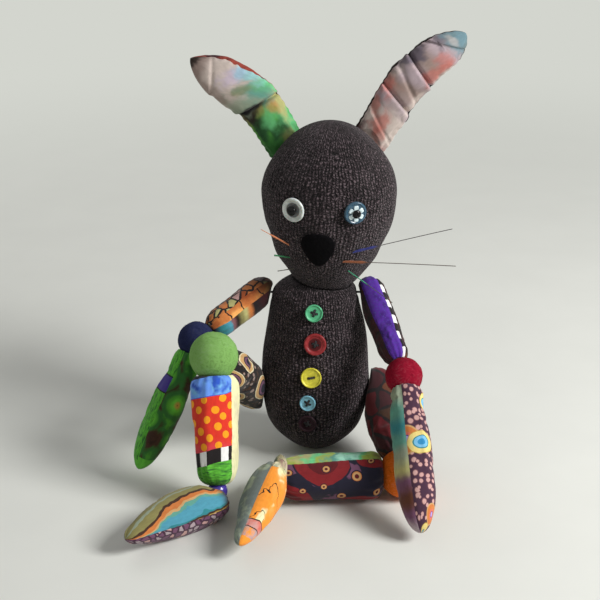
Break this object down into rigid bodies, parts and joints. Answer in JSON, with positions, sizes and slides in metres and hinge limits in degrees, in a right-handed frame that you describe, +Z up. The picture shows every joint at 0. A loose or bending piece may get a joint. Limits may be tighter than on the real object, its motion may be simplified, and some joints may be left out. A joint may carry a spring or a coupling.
{
  "type": "jointed rabbit sock doll",
  "caption": "Sitting rabbit doll sewn from a dark sock, with printed cotton ears and limbs that turn on felt balls, button eyes and a buttoned front.",
  "frame": {"origin": "middle of the flat base that the body sits on", "axes": "+Z up, -Y the way the doll faces, +X towards the doll's own left side"},
  "size_m": [0.219, 0.214, 0.2799],
  "materials": {
    "right_whisker_top": "waxed embroidery thread",
    "right_whisker_middle": "waxed embroidery thread",
    "right_whisker_bottom": "waxed embroidery thread",
    "left_whisker_top": "waxed embroidery thread",
    "left_whisker_middle": "waxed embroidery thread",
    "left_whisker_bottom": "waxed embroidery thread",
    "head_sock": "marled stocking knit",
    "fibre_filling": "loose polyester fibre",
    "right_eye_button": "polished",
    "black_bead": "polished",
    "left_eye_button": "polished",
    "nose_felt": "pressed wool felt",
    "right_ear_cloth": "printed quilting cotton",
    "left_ear_cloth": "printed quilting cotton",
    "black_thread": "twisted sewing thread",
    "body_sock": "marled stocking knit",
    "green_button": "moulded, satin gloss",
    "red_button": "moulded, satin gloss",
    "yellow_button": "moulded, satin gloss",
    "blue_button": "moulded, satin gloss",
    "maroon_button": "moulded, satin gloss",
    "right_elbow_felt_ball": "needle-felted wool",
    "right_upper_arm_cloth": "printed quilting cotton",
    "right_forearm_cloth": "printed quilting cotton",
    "right_knee_felt_ball": "needle-felted wool",
    "right_thigh_cloth": "printed quilting cotton",
    "purple_bead": "painted, satin",
    "right_shin_cloth": "printed quilting cotton",
    "right_foot_cloth": "printed quilting cotton",
    "left_elbow_felt_ball": "needle-felted wool",
    "left_upper_arm_cloth": "printed quilting cotton",
    "left_forearm_cloth": "printed quilting cotton",
    "left_knee_felt_ball": "needle-felted wool",
    "left_thigh_cloth": "printed quilting cotton",
    "left_shin_cloth": "printed quilting cotton",
    "left_foot_cloth": "printed quilting cotton"
  },
  "bodies": {
    "head": {"right_whisker_top": "right_whisker_top", "right_whisker_middle": "right_whisker_middle", "right_whisker_bottom": "right_whisker_bottom", "left_whisker_top": "left_whisker_top", "left_whisker_middle": "left_whisker_middle", "left_whisker_bottom": "left_whisker_bottom", "head_sock": "head_sock", "head_stuffing": "fibre_filling", "right_eye_button": "right_eye_button", "right_eye_bead": "black_bead", "left_eye_button": "left_eye_button", "left_eye_bead": "black_bead", "nose_felt": "nose_felt"},
    "right_ear": {"right_ear_cloth": "right_ear_cloth", "right_ear_stuffing": "fibre_filling"},
    "left_ear": {"left_ear_cloth": "left_ear_cloth", "left_ear_stuffing": "fibre_filling"},
    "torso": {"neck_thread": "black_thread", "shoulder_thread": "black_thread", "hip_thread": "black_thread", "body_sock": "body_sock", "body_stuffing": "fibre_filling", "green_button": "green_button", "red_button": "red_button", "yellow_button": "yellow_button", "blue_button": "blue_button", "maroon_button": "maroon_button"},
    "right_upper_arm": {"right_elbow_felt_ball": "right_elbow_felt_ball", "right_elbow_thread": "black_thread", "right_upper_arm_cloth": "right_upper_arm_cloth", "right_upper_arm_stuffing": "fibre_filling"},
    "right_forearm": {"right_forearm_cloth": "right_forearm_cloth", "right_forearm_stuffing": "fibre_filling"},
    "right_thigh": {"right_knee_felt_ball": "right_knee_felt_ball", "right_knee_thread": "black_thread", "right_thigh_cloth": "right_thigh_cloth", "right_thigh_stuffing": "fibre_filling"},
    "right_shin": {"right_ankle_bead": "purple_bead", "right_ankle_thread": "black_thread", "right_shin_cloth": "right_shin_cloth", "right_shin_stuffing": "fibre_filling"},
    "right_foot": {"right_foot_cloth": "right_foot_cloth", "right_foot_stuffing": "fibre_filling"},
    "left_upper_arm": {"left_elbow_felt_ball": "left_elbow_felt_ball", "left_elbow_thread": "black_thread", "left_upper_arm_cloth": "left_upper_arm_cloth", "left_upper_arm_stuffing": "fibre_filling"},
    "left_forearm": {"left_forearm_cloth": "left_forearm_cloth", "left_forearm_stuffing": "fibre_filling"},
    "left_thigh": {"left_knee_felt_ball": "left_knee_felt_ball", "left_knee_thread": "black_thread", "left_thigh_cloth": "left_thigh_cloth", "left_thigh_stuffing": "fibre_filling"},
    "left_shin": {"left_ankle_bead": "purple_bead", "left_ankle_thread": "black_thread", "left_shin_cloth": "left_shin_cloth", "left_shin_stuffing": "fibre_filling"},
    "left_foot": {"left_foot_cloth": "left_foot_cloth", "left_foot_stuffing": "fibre_filling"}
  },
  "joints": [
    {"name": "neck_turn", "type": "hinge", "parent": "torso", "child": "head", "pos_m": [0.0075, 0.01637, 0.14], "axis": [0, 0, 1], "range_deg": [-30, 30]},
    {"name": "right_ear_flop", "type": "hinge", "parent": "head", "child": "right_ear", "pos_m": [-0.02177, 0.04519, 0.20481], "axis": [-0.682, -0.0383, -0.7304], "range_deg": [-40, 40]},
    {"name": "left_ear_flop", "type": "hinge", "parent": "head", "child": "left_ear", "pos_m": [0.03788, 0.0441, 0.20819], "axis": [-0.7604, 0.034, 0.6486], "range_deg": [-34, 40]},
    {"name": "right_shoulder", "type": "hinge", "parent": "torso", "child": "right_upper_arm", "pos_m": [-0.03698, 0.01331, 0.1095], "axis": [1, 0, 0], "range_deg": [0, 60]},
    {"name": "right_elbow", "type": "hinge", "parent": "right_upper_arm", "child": "right_forearm", "pos_m": [-0.07896, -0.02318, 0.0898], "axis": [0.6425, -0.7648, 0.0475], "range_deg": [-40, 30]},
    {"name": "left_shoulder", "type": "hinge", "parent": "torso", "child": "left_upper_arm", "pos_m": [0.03698, 0.01331, 0.1095], "axis": [-1, 0, 0], "range_deg": [0, 24]},
    {"name": "left_elbow", "type": "hinge", "parent": "left_upper_arm", "child": "left_forearm", "pos_m": [0.05691, -0.04624, 0.07426], "axis": [-1, 0, 0], "range_deg": [0, 70]},
    {"name": "right_hip", "type": "hinge", "parent": "torso", "child": "right_thigh", "pos_m": [-0.0423, 0.00501, 0.0409], "axis": [1, 0, 0], "range_deg": [0, 45]},
    {"name": "right_knee", "type": "hinge", "parent": "right_thigh", "child": "right_shin", "pos_m": [-0.06581, -0.05348, 0.09176], "axis": [-0.9553, 0.2566, -0.1465], "range_deg": [-3, 75]},
    {"name": "right_ankle", "type": "hinge", "parent": "right_shin", "child": "right_foot", "pos_m": [-0.06318, -0.0885, 0.01326], "axis": [0.7071, -0.6367, 0.3077], "range_deg": [-17, 30]},
    {"name": "left_hip", "type": "hinge", "parent": "torso", "child": "left_thigh", "pos_m": [0.0423, 0.00501, 0.0409], "axis": [1, 0, 0], "range_deg": [0, 45]},
    {"name": "left_knee", "type": "hinge", "parent": "left_thigh", "child": "left_shin", "pos_m": [0.05638, -0.07095, 0.01654], "axis": [0.0112, -0.3034, 0.9528], "range_deg": [0, 55]},
    {"name": "left_ankle", "type": "hinge", "parent": "left_shin", "child": "left_foot", "pos_m": [-0.02941, -0.07695, 0.01564], "axis": [0.0089, 0.023, -0.9997], "range_deg": [-15, 12]}
  ]
}
